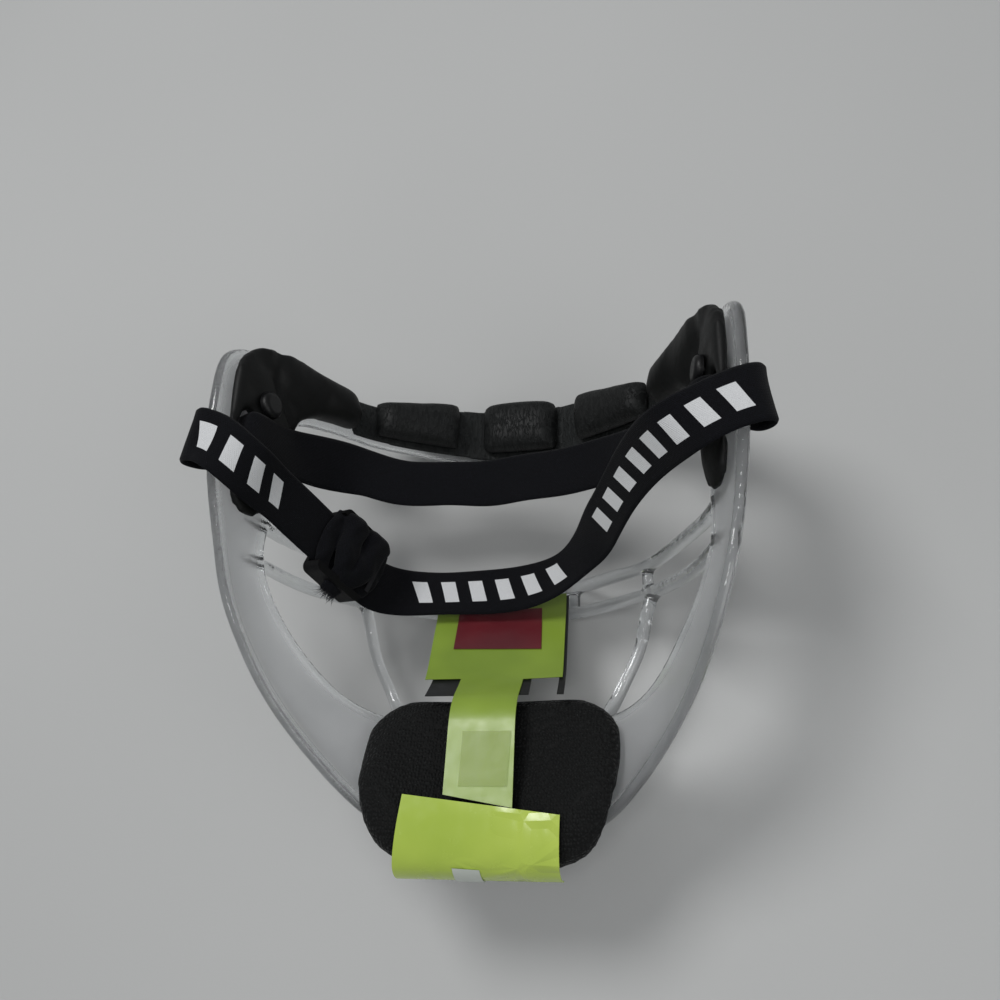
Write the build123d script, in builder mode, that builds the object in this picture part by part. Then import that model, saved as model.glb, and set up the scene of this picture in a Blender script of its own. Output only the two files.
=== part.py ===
from build123d import *
import os
from math import floor

# A softball face guard, lying face down with its retail card still on.
# x runs to the wearer's right in use, y towards the brow, z from the face of the guard to the wearer.

# Driving sizes, in millimetres
guard_width = 198       # over the rear rims at the temples
guard_height = 200      # from the chin rim to the top of the brow band, on the level
guard_depth = 112       # from the front of the brow band to the temple rims
overrun = 10            # how far a cutting shape runs past what it cuts
seat_gap = 0.3          # between pieces that lie on one another
centre_shift = 7.1      # from the nose bars to the middle of the box round the whole guard

# Clear moulding
opening_wall = 3.2      # wall at the edge round the face opening
rim_wall = 4.6          # wall at the rear rim
least_bow = 0.3         # outward bow of the wall at the brow
chin_bow = 3.0          # outward bow of the wall at the chin
bar_width = 5.0         # cross bars, seen from the face
bar_depth = 6.4         # cross bars, front to back
web_wall = 3.0          # plate over the nose
strap_slot_length = 24.0
strap_slot_width = 4.2

# Brow pad
hook_seat = 0.6         # glue line under the hook strips
hook_thickness = 1.0    # hook strips on the shell
skin_thickness = 2.0    # thin skin that joins the blocks
block_height = 10.4     # forehead blocks over the skin
wing_height = 12.5      # wings at their inner end, over the skin
pad_slot_length = 26.0  # hole in each wing round the strap
pad_slot_width = 7.0

# Studs through the temple lobes
stud_head = 11.0        # inner dome, across
stud_rise = 3.2         # inner dome, high
stud_shank = 4.6
stud_fit = 0.25         # clearance round the shank
cap_head = 12.0         # outer head, across
cap_rise = 2.4

# Chin pad
backing_thickness = 1.2
chin_foam_height = 11.5
cover_thickness = 1.3
foam_gap = 0.6          # round the foam, under the cover

# Strap and slider
webbing_width = 22.0
webbing_thickness = 1.6
slider_length = 25.0    # along the strap
slider_width = 30.0
slider_bar = 3.6        # width of each cross bar
slider_wall = 2.2       # thickness of the slider's bars
slider_place = 18.5     # from the lower end of the straight stretch to the slider's middle
slider_lift = 0.7       # between the webbing and the slider's bars
slider_round = 3.0      # corners of the slider
tail_width = 20.0
tail_reach = 15.0       # from the slider's middle to the sewn end of the tail
stitch_length = 2.0
stitch_width = 16.0
stitch_rise = 0.4

# Retail card
card_thickness = 0.6
label_thickness = 0.3
tape_thickness = 0.25
back_thickness = 0.6
sheet_gap = 0.2         # between sheets of the card

# The shell runs from the middle of the brow round the temple to the middle of the chin.
# Each station has its opening edge and its rear edge, as shares of half the width, the height
# and the depth. Heights are taken from the nose bars.
shell_shares = [
    ((0.000, 0.353, 0.016), (0.000, 0.478, 0.016)),
    ((0.172, 0.353, 0.029), (0.172, 0.475, 0.029)),
    ((0.333, 0.355, 0.094), (0.333, 0.468, 0.094)),
    ((0.505, 0.358, 0.179), (0.505, 0.455, 0.183)),
    ((0.646, 0.360, 0.272), (0.657, 0.443, 0.290)),
    ((0.758, 0.363, 0.384), (0.788, 0.439, 0.450)),
    ((0.828, 0.355, 0.491), (0.889, 0.439, 0.631)),
    ((0.869, 0.338, 0.580), (0.949, 0.436, 0.822)),
    ((0.882, 0.305, 0.621), (0.985, 0.396, 0.952)),
    ((0.879, 0.250, 0.652), (0.991, 0.318, 0.988)),
    ((0.872, 0.180, 0.688), (0.988, 0.223, 0.989)),
    ((0.865, 0.100, 0.723), (0.973, 0.120, 0.960)),
    ((0.859, 0.010, 0.750), (0.942, 0.010, 0.918)),
    ((0.813, -0.070, 0.719), (0.889, -0.100, 0.888)),
    ((0.722, -0.155, 0.634), (0.783, -0.235, 0.777)),
    ((0.601, -0.228, 0.491), (0.631, -0.350, 0.638)),
    ((0.444, -0.263, 0.366), (0.444, -0.445, 0.509)),
    ((0.222, -0.268, 0.317), (0.222, -0.495, 0.433)),
    ((0.000, -0.270, 0.308), (0.000, -0.513, 0.402)),
]
last_station = len(shell_shares) - 1


def place(share):
    """Point of the guard from its shares of half the width, the height and the depth."""
    return Vector(share[0] * guard_width / 2, share[1] * guard_height, share[2] * guard_depth)


def station(k):
    """Opening edge and rear edge at whole station k. The left half mirrors the right."""
    k = (k + last_station) % (2 * last_station) - last_station
    side = -1 if k < 0 else 1
    return [place((side * share[0], share[1], share[2])) for share in shell_shares[abs(k)]]


def curve_at(points, f):
    """Point and run of the smooth curve through four points, at f between the middle two."""
    a, b, c, d = points
    first = (c - a) * 0.5
    second = (a * 2 - b * 5 + c * 4 - d) * 0.5
    third = (b * 3 - a - c * 3 + d) * 0.5
    point = b + first * f + second * f**2 + third * f**3
    return point, first + second * (2 * f) + third * (3 * f**2)


def shell_frame(s):
    """Section plane at station s and the shell's width there. x runs from the opening edge to the
    rear edge and y points at the wearer."""
    k = floor(s)
    nearby = [station(i) for i in range(k - 1, k + 3)]
    inner, inner_run = curve_at([edges[0] for edges in nearby], s - k)
    outer, outer_run = curve_at([edges[1] for edges in nearby], s - k)
    across = (outer - inner).normalized()
    run = inner_run + outer_run
    run = run - across * run.dot(across)
    return Plane(origin=inner, x_dir=across, z_dir=run), (outer - inner).length


def bow_at(s):
    """Outward bow of the wall, which grows from the temple to the chin."""
    chin_share = min(1, max(0, (abs(s) - 8) / 8))
    return least_bow + (chin_bow - least_bow) * chin_share


def face_height(s, share, side):
    """Height of the wall's inner (side 1) or outer (side -1) face over the section's x axis."""
    wall = opening_wall + (rim_wall - opening_wall) * share
    return side * wall / 2 - 4 * bow_at(s) * share * (1 - share)


def shell_section(s):
    """Cross section of the shell at station s."""
    plane, width = shell_frame(s)
    with BuildSketch(plane) as section:
        with BuildLine():
            Spline([(width * a, face_height(s, a, -1)) for a in (0, 0.5, 1)])
            ThreePointArc(
                (width, face_height(s, 1, -1)),
                (width + rim_wall / 3, 0),
                (width, face_height(s, 1, 1)),
            )
            Spline([(width * a, face_height(s, a, 1)) for a in (1, 0.5, 0)])
            ThreePointArc(
                (0, face_height(s, 0, 1)),
                (-opening_wall / 3, 0),
                (0, face_height(s, 0, -1)),
            )
        make_face()
    return section.sketch


def bar_section(point, run, side, width, depth):
    """Rounded section of a bar. Its width lies along side, square to the run."""
    side = side - run * (side.dot(run) / run.dot(run))
    a = width * 0.38
    b = depth * 0.38
    with BuildSketch(Plane(origin=point, x_dir=side, z_dir=run)) as section:
        with BuildLine():
            ThreePointArc((-a, -b), (0, -depth / 2), (a, -b))
            ThreePointArc((a, -b), (width / 2, 0), (a, b))
            ThreePointArc((a, b), (0, depth / 2), (-a, b))
            ThreePointArc((-a, b), (-width / 2, 0), (-a, -b))
        make_face()
    return section.sketch


def bar_sections(points, side, width_shares, depth_shares):
    """Sections of a bar through its points."""
    sections = []
    for i, point in enumerate(points):
        run = points[min(i + 1, len(points) - 1)] - points[max(i - 1, 0)]
        width = bar_width * width_shares[i]
        depth = bar_depth * depth_shares[i]
        sections.append(bar_section(point, run, side, width, depth))
    return sections


# The bars' middle lines, as shares like the shell's. A cross bar starts as a pointed rib in the wall.
upper_bar_shares = [
    (0.936, 0.092, 0.880), (0.909, 0.087, 0.790), (0.880, 0.082, 0.705), (0.845, 0.077, 0.614),
    (0.775, 0.070, 0.497), (0.690, 0.058, 0.388), (0.606, 0.044, 0.320), (0.430, 0.043, 0.180),
    (0.252, 0.045, 0.056), (0.130, 0.047, 0.028), (0.000, 0.049, 0.024), (-0.130, 0.047, 0.028),
]
upper_width_shares = [0.30, 0.60, 0.85, 0.95, 1.0, 1.0, 1.0, 1.05, 1.15, 1.2, 1.2, 1.2]
upper_depth_shares = [0.30, 0.75, 0.95, 1.0, 1.0, 1.0, 1.0, 1.0, 0.95, 0.9, 0.9, 0.9]
lower_bar_shares = [
    (0.924, 0.010, 0.870), (0.903, 0.008, 0.800), (0.876, 0.005, 0.720), (0.810, -0.007, 0.583),
    (0.735, -0.014, 0.480), (0.655, -0.015, 0.375), (0.606, -0.014, 0.310), (0.425, -0.015, 0.175),
    (0.245, -0.015, 0.063), (0.130, -0.015, 0.030), (0.000, -0.015, 0.024), (-0.130, -0.015, 0.030),
]
lower_width_shares = [0.30, 0.60, 0.85, 0.95, 1.0, 1.0, 1.0, 1.0, 1.0, 1.0, 1.0, 1.0]
lower_depth_shares = [0.30, 0.75, 0.95, 1.0, 1.0, 1.0, 1.0, 1.0, 0.95, 0.9, 0.9, 0.9]
upright_shares = [
    (0.606, -0.010, 0.318), (0.586, -0.045, 0.318), (0.560, -0.100, 0.305), (0.530, -0.145, 0.300),
    (0.490, -0.185, 0.298), (0.452, -0.222, 0.300), (0.420, -0.252, 0.322), (0.400, -0.280, 0.350),
]
upright_width_shares = [1.1, 1.0, 0.95, 0.9, 0.9, 0.95, 1.1, 1.1]
upright_depth_shares = [1.0, 0.95, 0.9, 0.85, 0.85, 0.85, 0.8, 0.6]
strut_shares = [(0.586, -0.015, 0.305), (0.586, 0.015, 0.308), (0.588, 0.044, 0.310)]
strut_width_shares = [0.84, 0.84, 0.84]
strut_depth_shares = [0.80, 0.80, 0.80]
web_shares = [(-0.060, 0.025), (0.000, 0.024), (0.130, 0.029), (0.200, 0.042), (0.272, 0.066)]
web_low_share = -0.014
web_high_share = 0.046

strap_slot_station = 9.9
strap_slot_share = 0.74
stud_station = 8.70
stud_share = 0.52

# Heights of the soft layers over the shell's inner face
hook_low = hook_seat
hook_high = hook_low + hook_thickness
skin_low = hook_high + seat_gap
skin_high = skin_low + skin_thickness
block_low = skin_high + seat_gap
tuck_share = 0.12       # how far a cushion's sides are drawn in, against its height
chin_roundness = 2.2    # how much rounder the chin pad's shoulders are than the brow pad's
curl_share = 0.5        # how far a pad drops past the rear rim, against how far it stands out


def through_shell(s, share):
    """Plane on the shell's middle at a station and a share of its width, facing the wearer."""
    plane, width = shell_frame(s)
    middle = (face_height(s, share, 1) + face_height(s, share, -1)) / 2
    origin = plane.from_local_coords((width * share, middle, 0))
    return Plane(origin=origin, x_dir=plane.z_dir, z_dir=plane.y_dir)


os.makedirs("parts", exist_ok=True)


def save(piece, label):
    """Label a piece, lay it in the frame at the middle of the guard's box and write it."""
    shape = Pos(0, centre_shift, 0) * piece
    shape.label = label
    export_step(shape, f"parts/{label}.step")


def pad_section(s, start, end, low, high, inset=0, roundness=1):
    """Section of a soft piece between two shares of the shell's width and two heights over it."""
    plane, width = shell_frame(s)
    tuck = (high - low) * tuck_share
    waist = low + (high - low) * 0.45
    shoulder = low + (high - low) * 0.8

    def spot(share, inward, height):
        across = width * share + inward
        past_rim = max(0, across - width)
        return (across, face_height(s, min(1, across / width), 1) + height - past_rim * curl_share)

    near, far = spot(start, inset + tuck, low), spot(end, -inset - tuck, low)
    near_top = spot(start, inset + tuck * roundness, shoulder)
    far_top = spot(end, -inset - tuck * roundness, shoulder)
    base = [spot(start + (end - start) * k / 4, 0, low) for k in (1, 2, 3)]
    crown = [
        spot(start + (end - start) * k / 4, 0, low + (high - low) * rise)
        for k, rise in ((3, 0.95), (2, 1), (1, 0.95))
    ]
    with BuildSketch(plane) as section:
        with BuildLine():
            Spline(near, *base, far)
            Spline(far, spot(end, -inset, waist), far_top)
            Spline(far_top, *crown, near_top)
            Spline(near_top, spot(start, inset, waist), near)
        make_face()
    return section.sketch


def block_sections(start_s, end_s, start, end, low, height):
    """Sections of a forehead block, which is drawn in at both ends."""
    sections = []
    for along, rise in ((0, 0.45), (0.05, 0.8), (0.2, 1), (0.5, 1.04), (0.8, 1), (0.95, 0.8), (1, 0.45)):
        s = start_s + (end_s - start_s) * along
        sections.append(pad_section(s, start, end, low, low + height * rise))
    return sections


# One clear moulding: shell, cross bars, uprights, struts and the web over the nose
with BuildPart() as face_frame:
    loft(sections=[shell_section(half_step / 2) for half_step in range(-2, 2 * last_station + 3)])
    for shares, widths, depths, side in (
        (upper_bar_shares, upper_width_shares, upper_depth_shares, Vector(0, 1, 0)),
        (lower_bar_shares, lower_width_shares, lower_depth_shares, Vector(0, 1, 0)),
        (upright_shares, upright_width_shares, upright_depth_shares, Vector(1, 0, 0.5)),
    ):
        loft(sections=bar_sections([place(share) for share in shares], side, widths, depths))
    strut = [place(share) for share in strut_shares]
    loft(sections=bar_sections(strut, Vector(1, 0, 0.8), strut_width_shares, strut_depth_shares))
    for x_share, z_share in web_shares:
        middle = place((x_share, (web_low_share + web_high_share) / 2, z_share))
        with BuildSketch(Plane(origin=middle, x_dir=(0, 1, 0), z_dir=(1, 0, 0))):
            Rectangle((web_high_share - web_low_share) * guard_height, web_wall)
    loft()
    split(bisect_by=Plane.YZ, keep=Keep.TOP)
    with BuildSketch(through_shell(strap_slot_station, strap_slot_share)):
        SlotOverall(strap_slot_length, strap_slot_width)
    extrude(amount=overrun, both=True, mode=Mode.SUBTRACT)
    with BuildSketch(through_shell(stud_station, stud_share)):
        Circle(stud_shank / 2 + stud_fit)
    extrude(amount=overrun, both=True, mode=Mode.SUBTRACT)
    mirror(about=Plane.YZ)
    split(bisect_by=Plane.XY, keep=Keep.TOP)
save(face_frame.part, "face_frame")

# Hook strips that hold the brow pad to the shell
with BuildPart() as brow_hooks:
    for start_s, end_s, start, end in (
        (-0.85, 0.85, 0.25, 0.75),
        (2.35, 3.75, 0.25, 0.75),
        (-3.75, -2.35, 0.25, 0.75),
        (5.1, 6.2, 0.25, 0.7),
        (-6.2, -5.1, 0.25, 0.7),
    ):
        stations = [start_s + (end_s - start_s) * k / 4 for k in range(5)]
        loft(sections=[pad_section(s, start, end, hook_low, hook_high) for s in stations])
save(brow_hooks.part, "brow_hooks")

# Thin skin that joins the three forehead blocks and reaches the wings
web_end_station = 4.72
with BuildPart() as brow_pad_web:
    loft(sections=[
        pad_section(web_end_station * k / 10, 0.02, 1.02, skin_low, skin_high) for k in range(-10, 11)
    ])
save(brow_pad_web.part, "brow_pad_web")

# Forehead blocks
for label, start_s, end_s in (
    ("brow_pad_centre", -1.17, 1.17),
    ("brow_pad_inner_right", 1.92, 4.07),
    ("brow_pad_inner_left", -4.07, -1.92),
):
    with BuildPart() as block:
        loft(sections=block_sections(start_s, end_s, 0.11, 1.04, block_low, block_height))
    save(block.part, label)

# Wings: thick beside the blocks, a crease where the ear rises, then a lobe down the temple
wing_shares = [
    (4.80, 0.06, 1.00, 0.74), (4.92, 0.03, 1.03, 0.92), (5.30, 0.02, 1.04, 1.00), (5.90, 0.02, 1.04, 0.95),
    (6.40, 0.02, 1.03, 0.82), (6.90, 0.03, 1.02, 0.68), (7.30, 0.04, 1.01, 0.52), (7.60, 0.05, 0.98, 0.40),
    (8.00, 0.05, 0.95, 0.38), (8.50, 0.06, 0.93, 0.36), (9.00, 0.08, 0.92, 0.33), (9.50, 0.10, 0.92, 0.31),
    (10.00, 0.11, 0.92, 0.30), (10.50, 0.12, 0.91, 0.30), (10.85, 0.16, 0.88, 0.28),
    (11.15, 0.26, 0.79, 0.24), (11.32, 0.38, 0.67, 0.16),
]
wing_top = block_low + wing_height - skin_low
for side, label in ((1, "brow_pad_wing_right"), (-1, "brow_pad_wing_left")):
    with BuildPart() as wing:
        loft(sections=[
            pad_section(side * s, start, end, skin_low, skin_low + wing_top * rise)
            for s, start, end, rise in wing_shares
        ])
        with BuildSketch(through_shell(side * strap_slot_station, strap_slot_share)):
            SlotOverall(pad_slot_length, pad_slot_width)
        extrude(amount=wing_top * 2, both=True, mode=Mode.SUBTRACT)
        with BuildSketch(through_shell(side * stud_station, stud_share)):
            Circle(stud_shank / 2 + stud_fit)
        extrude(amount=wing_top * 2, both=True, mode=Mode.SUBTRACT)
    save(wing.part, label)


# Studs that pin the temple lobes: an inner dome with a shank, and the head on its outer end
stud_low = skin_low + wing_top * 0.42
for side, end in ((1, "right"), (-1, "left")):
    pin = through_shell(side * stud_station, stud_share)
    wall = (opening_wall + (rim_wall - opening_wall) * stud_share) / 2
    with BuildPart() as temple_stud:
        with BuildSketch(pin.offset(wall + stud_low)):
            Circle(stud_head / 2)
        extrude(amount=stud_rise)
        fillet(temple_stud.edges().group_by(Axis(pin.origin, pin.z_dir))[-1], stud_rise * 0.7)
        with BuildSketch(pin.offset(-wall - seat_gap - cap_rise * 0.6)):
            Circle(stud_shank / 2)
        extrude(amount=2 * wall + stud_low + seat_gap + cap_rise * 0.6 + stud_rise / 2)
    save(temple_stud.part, f"temple_stud_{end}")
    with BuildPart() as stud_cap:
        with BuildSketch(pin.offset(-wall - seat_gap)):
            Circle(cap_head / 2)
        extrude(amount=-cap_rise)
        fillet(stud_cap.edges().group_by(Axis(pin.origin, pin.z_dir))[0], cap_rise * 0.6)
        with BuildSketch(pin.offset(-wall)):
            Circle(stud_shank / 2 + stud_fit)
        extrude(amount=-seat_gap - cap_rise * 0.7, mode=Mode.SUBTRACT)
    save(stud_cap.part, f"stud_cap_{end}")

# Chin pad: mesh cover over a foam core, on a loop backing that grips the hooks in the chin cup.
# It stands out past the rear rim.
chin_shares = [
    (0.00, -0.11, 1.15, 1.00), (0.70, -0.11, 1.18, 1.00), (1.40, -0.10, 1.26, 0.92),
    (1.90, -0.06, 1.25, 0.80), (2.20, 0.05, 1.14, 0.64), (2.38, 0.24, 0.92, 0.46),
]
chin_rows = [(-s, *rest) for s, *rest in chin_shares[:0:-1]] + chin_shares
backing_share = 0.86    # how far the loop backing reaches across the chin cup
backing_low = hook_high + seat_gap
backing_high = backing_low + backing_thickness
foam_low = backing_high + seat_gap
chin_top = chin_foam_height + foam_gap + cover_thickness
cavity_height = chin_foam_height + foam_gap + seat_gap


def chin_sections(low, height, inset, s_share):
    """Sections of one layer of the chin pad, from its left end to its right end."""
    return [
        pad_section(last_station + s * s_share, start, end, low, low + height * rise, inset, chin_roundness)
        for s, start, end, rise in chin_rows
    ]


with BuildPart() as chin_hooks:
    for start_s, end_s in ((-1.3, -0.3), (0.3, 1.3)):
        loft(sections=[
            pad_section(last_station + s, 0.2, 0.8, hook_low, hook_high)
            for s in (start_s, (start_s + end_s) / 2, end_s)
        ])
save(chin_hooks.part, "chin_hooks")

with BuildPart() as chin_pad_backing:
    loft(sections=[
        pad_section(last_station + s * 0.93, start, backing_share, backing_low, backing_high, cover_thickness)
        for s, start, *rest in chin_rows
    ])
save(chin_pad_backing.part, "chin_pad_backing")

with BuildPart() as chin_pad_foam:
    loft(sections=chin_sections(foam_low, chin_foam_height, cover_thickness + foam_gap, 0.93))
save(chin_pad_foam.part, "chin_pad_foam")

with BuildPart() as chin_pad_cover:
    loft(sections=chin_sections(foam_low, chin_top, 0, 1))
    cavity = chin_sections(foam_low - seat_gap, cavity_height, cover_thickness, 0.95)
    loft(sections=cavity, mode=Mode.SUBTRACT)
save(chin_pad_cover.part, "chin_pad_cover")

# Strap: stations of its middle line as shares like the shell's, each with the way its width points.
# The plain run lies inside, from slot to slot. The printed run leaves the slots outside, folds over
# the rims and crosses lower down, through the slider.
plain_shares = [
    ((-0.815, 0.227, 0.820), (-0.06, 0.95, -0.32)),
    ((-0.790, 0.240, 0.680), (0.03, 0.97, -0.26)),
    ((-0.720, 0.250, 0.560), (0.17, 0.98, 0.00)),
    ((-0.596, 0.255, 0.429), (0.10, 0.98, -0.15)),
    ((-0.465, 0.240, 0.384), (0.00, 0.98, -0.15)),
    ((-0.253, 0.240, 0.339), (-0.08, 0.99, -0.14)),
    ((-0.081, 0.235, 0.339), (-0.13, 0.97, -0.15)),
    ((0.091, 0.230, 0.393), (-0.18, 0.97, -0.15)),
    ((0.270, 0.224, 0.450), (-0.25, 0.95, -0.20)),
    ((0.412, 0.224, 0.505), (-0.20, 0.95, -0.22)),
    ((0.537, 0.220, 0.582), (-0.16, 0.95, -0.24)),
    ((0.668, 0.218, 0.690), (-0.14, 0.95, -0.22)),
    ((0.780, 0.217, 0.830), (-0.14, 0.96, -0.18)),
]
left_fold_shares = [
    ((-1.040, 0.218, 0.920), (0.02, 0.99, 0.00)),
    ((-1.066, 0.215, 0.965), (0.12, 0.99, 0.00)),
    ((-1.062, 0.212, 1.005), (0.20, 0.98, 0.00)),
    ((-1.030, 0.208, 1.034), (0.24, 0.97, 0.00)),
    ((-0.975, 0.200, 1.036), (0.30, 0.92, -0.10)),
    ((-0.907, 0.180, 1.032), (0.38, 0.90, -0.20)),
    ((-0.821, 0.145, 0.970), (0.42, 0.87, -0.28)),
]
straight_shares = [(-0.778, 0.126, 0.840), (-0.540, 0.012, 0.404)]
straight_across = (0.23, 0.937, -0.262)
cross_shares = [
    ((-0.486, 0.008, 0.335), (0.05, 0.96, -0.28)),
    ((-0.425, 0.008, 0.292), (-0.05, 0.96, -0.28)),
    ((-0.330, 0.008, 0.270), (-0.08, 0.95, -0.32)),
    ((-0.177, 0.007, 0.270), (-0.12, 0.93, -0.35)),
    ((0.080, 0.011, 0.290), (-0.26, 0.90, -0.34)),
    ((0.245, 0.033, 0.336), (-0.32, 0.82, -0.47)),
    ((0.362, 0.072, 0.415), (-0.61, 0.58, -0.55)),
    ((0.442, 0.100, 0.530), (-0.62, 0.53, -0.58)),
    ((0.535, 0.136, 0.678), (-0.64, 0.44, -0.63)),
    ((0.652, 0.161, 0.848), (-0.64, 0.72, -0.17)),
    ((0.758, 0.167, 0.968), (-0.54, 0.84, 0.00)),
    ((0.860, 0.181, 1.018), (-0.37, 0.93, 0.00)),
    ((0.960, 0.196, 1.036), (-0.26, 0.96, 0.00)),
    ((1.030, 0.204, 1.034), (-0.22, 0.97, 0.00)),
    ((1.062, 0.210, 1.005), (-0.18, 0.98, 0.00)),
    ((1.066, 0.214, 0.965), (-0.12, 0.99, 0.00)),
    ((1.040, 0.218, 0.920), (-0.02, 0.99, 0.00)),
]


def slot_stop(side, inward):
    """Station of the strap where it passes a temple slot, so far inward from the shell's middle."""
    hole = through_shell(side * strap_slot_station, strap_slot_share)
    return hole.origin + hole.z_dir * inward, hole.x_dir * -side


def band_edges(points, low, high):
    """The two smooth edges of a band, at two heights to the right of the line through the points."""
    edges = []
    for height in (low, high):
        edge = []
        for i, point in enumerate(points):
            run = (points[min(i + 1, len(points) - 1)] - points[max(i - 1, 0)]).normalized()
            edge.append((point.X + run.Y * height, point.Y - run.X * height))
        edges.append(edge)
    return edges


def ribbon_sections(stops):
    """Sections of the webbing through its stations."""
    sections = []
    for i, (point, across) in enumerate(stops):
        run = stops[min(i + 1, len(stops) - 1)][0] - stops[max(i - 1, 0)][0]
        across = across - run * (across.dot(run) / run.dot(run))
        with BuildSketch(Plane(origin=point, x_dir=across, z_dir=run)) as section:
            Rectangle(webbing_width, webbing_thickness)
        sections.append(section.sketch)
    return sections


def stops_from(shares):
    """Stations of the webbing in real sizes."""
    return [(place(share), Vector(*across)) for share, across in shares]


slot_wall = (opening_wall + (rim_wall - opening_wall) * strap_slot_share) / 2
lobe_face = slot_wall + skin_low + wing_top * 0.38
straight_ends = [place(share) for share in straight_shares]
straight = [
    (straight_ends[0] + (straight_ends[1] - straight_ends[0]) * (k / 4), Vector(*straight_across))
    for k in range(5)
]
plain_stops = [slot_stop(-1, -slot_wall / 2), slot_stop(-1, slot_wall), slot_stop(-1, lobe_face)]
plain_stops += stops_from(plain_shares)
plain_stops += [slot_stop(1, lobe_face), slot_stop(1, slot_wall), slot_stop(1, -slot_wall / 2)]
printed_stops = [slot_stop(-1, -slot_wall - seat_gap), *stops_from(left_fold_shares), *straight]
printed_stops += [*stops_from(cross_shares), slot_stop(1, -slot_wall - seat_gap)]
for label, stops in (("strap_plain", plain_stops), ("strap_printed", printed_stops)):
    with BuildPart() as strap:
        loft(sections=ribbon_sections(stops))
    save(strap.part, label)

# Slider: its end bars pass under the webbing, and its middle bar carries the sewn tail over it
run = (straight_ends[1] - straight_ends[0]).normalized()
slide = Plane(
    origin=straight_ends[1] - run * slider_place,
    x_dir=run,
    z_dir=run.cross(Vector(*straight_across)),
)
under = -webbing_thickness / 2 - slider_lift
tail_low = webbing_thickness / 2 + slider_lift
bar_low = tail_low + webbing_thickness + seat_gap
rail_width = (slider_width - webbing_width) / 2 - slider_lift
with BuildPart() as slider:
    with BuildSketch(slide.offset(under - slider_wall)):
        RectangleRounded(slider_length, slider_width, slider_round)
        Rectangle(slider_length - 2 * slider_bar, slider_width - 2 * rail_width, mode=Mode.SUBTRACT)
    extrude(amount=slider_wall)
    with BuildSketch(slide.offset(under)):
        RectangleRounded(slider_length, slider_width, slider_round)
        Rectangle(slider_length * 2, slider_width - 2 * rail_width, mode=Mode.SUBTRACT)
    extrude(amount=bar_low + slider_wall - under)
    with BuildSketch(slide.offset(bar_low)):
        Rectangle(slider_bar, slider_width - rail_width)
    extrude(amount=slider_wall)
save(slider.part, "slider")

# Tail: the webbing's sewn end, looped round the middle bar with its slack bunched on top
side_view = Plane(origin=slide.origin, x_dir=run, z_dir=-slide.y_dir)
half = webbing_thickness / 2
low_line = tail_low + half
high_line = bar_low + slider_wall + seat_gap + half
double_line = low_line + webbing_thickness + seat_gap
turn = (high_line - low_line) / 2
end = -slider_bar / 2
drop = high_line - double_line
bunch_points = [
    (end, high_line), (0, high_line), (tail_reach * 0.14, high_line + half),
    (tail_reach * 0.32, high_line), (tail_reach * 0.48, high_line + half * 0.4),
    (tail_reach * 0.60, double_line + drop * 0.70), (tail_reach * 0.70, double_line + drop * 0.30),
    (tail_reach * 0.80, double_line + drop * 0.06), (tail_reach * 0.90, double_line),
    (tail_reach, double_line),
]
with BuildPart() as strap_tail:
    with BuildSketch(side_view):
        with BuildLine():
            top, bottom = band_edges([Vector(*point) for point in bunch_points], -half, half)
            Spline(*top)
            Line(top[-1], bottom[-1])
            Spline(*bottom[::-1])
            ThreePointArc(bottom[0], (end - turn + half, low_line + turn), (end, low_line + half))
            Line((end, low_line + half), (tail_reach, low_line + half))
            Line((tail_reach, low_line + half), (tail_reach, low_line - half))
            Line((tail_reach, low_line - half), (end, low_line - half))
            ThreePointArc((end, low_line - half), (end - turn - half, low_line + turn), top[0])
        make_face()
    extrude(amount=tail_width / 2, both=True)
save(strap_tail.part, "strap_tail")

with BuildPart() as strap_stitch:
    with BuildSketch(slide.offset(double_line + half + seat_gap)):
        with Locations((tail_reach - stitch_length * 0.75, 0)):
            Rectangle(stitch_length, stitch_width)
    extrude(amount=stitch_rise)
save(strap_stitch.part, "strap_stitch")

# Retail card: printed sheets that lie in the guard, over the chin pad and down outside its rim.
# Their side view runs from the top edge to the chin, as shares of the height and, over the place
# where they rest on the chin pad's cover, of the depth. Their outlines from above are shares of
# half the width and the height.
rest_station = last_station - 1.6
rest_share = 1.1
rest_plane, rest_width = shell_frame(rest_station)
card_rest = rest_plane.from_local_coords((rest_width * rest_share, foam_low + chin_top * 0.9, 0)).Z
card_shares = [
    (0.014, -0.434), (-0.060, -0.351), (-0.120, -0.276), (-0.185, -0.191), (-0.215, -0.136),
    (-0.240, -0.086), (-0.275, -0.054), (-0.320, -0.042), (-0.375, -0.031), (-0.440, -0.0175),
]
wrap_shares = [
    (-0.400, -0.0095), (-0.460, -0.0075), (-0.502, -0.019), (-0.535, -0.048), (-0.549, -0.092),
    (-0.551, -0.139),
]
front_outline_shares = [
    (-0.313, -0.022), (0.232, 0.012), (0.263, -0.192), (0.111, -0.195),
    (0.115, -0.436), (-0.141, -0.414), (-0.136, -0.192), (-0.282, -0.192),
]
wrap_outline_shares = [(-0.287, -0.414), (0.286, -0.447), (0.276, -0.560), (-0.331, -0.560)]
label_outline_shares = [(-0.215, -0.028), (0.138, -0.025), (0.162, -0.126), (-0.200, -0.121)]
tape_outline_shares = [(-0.081, -0.302), (0.101, -0.302), (0.094, -0.400), (-0.086, -0.400)]
sticker_outline_shares = [(-0.102, -0.536), (-0.004, -0.538), (-0.004, -0.560), (-0.102, -0.560)]
back_outline_shares = [
    (-0.235, -0.020), (0.242, 0.008), (0.280, -0.231), (0.254, -0.231),
    (0.232, -0.070), (0.125, -0.070), (0.147, -0.231), (-0.257, -0.231),
]


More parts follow.
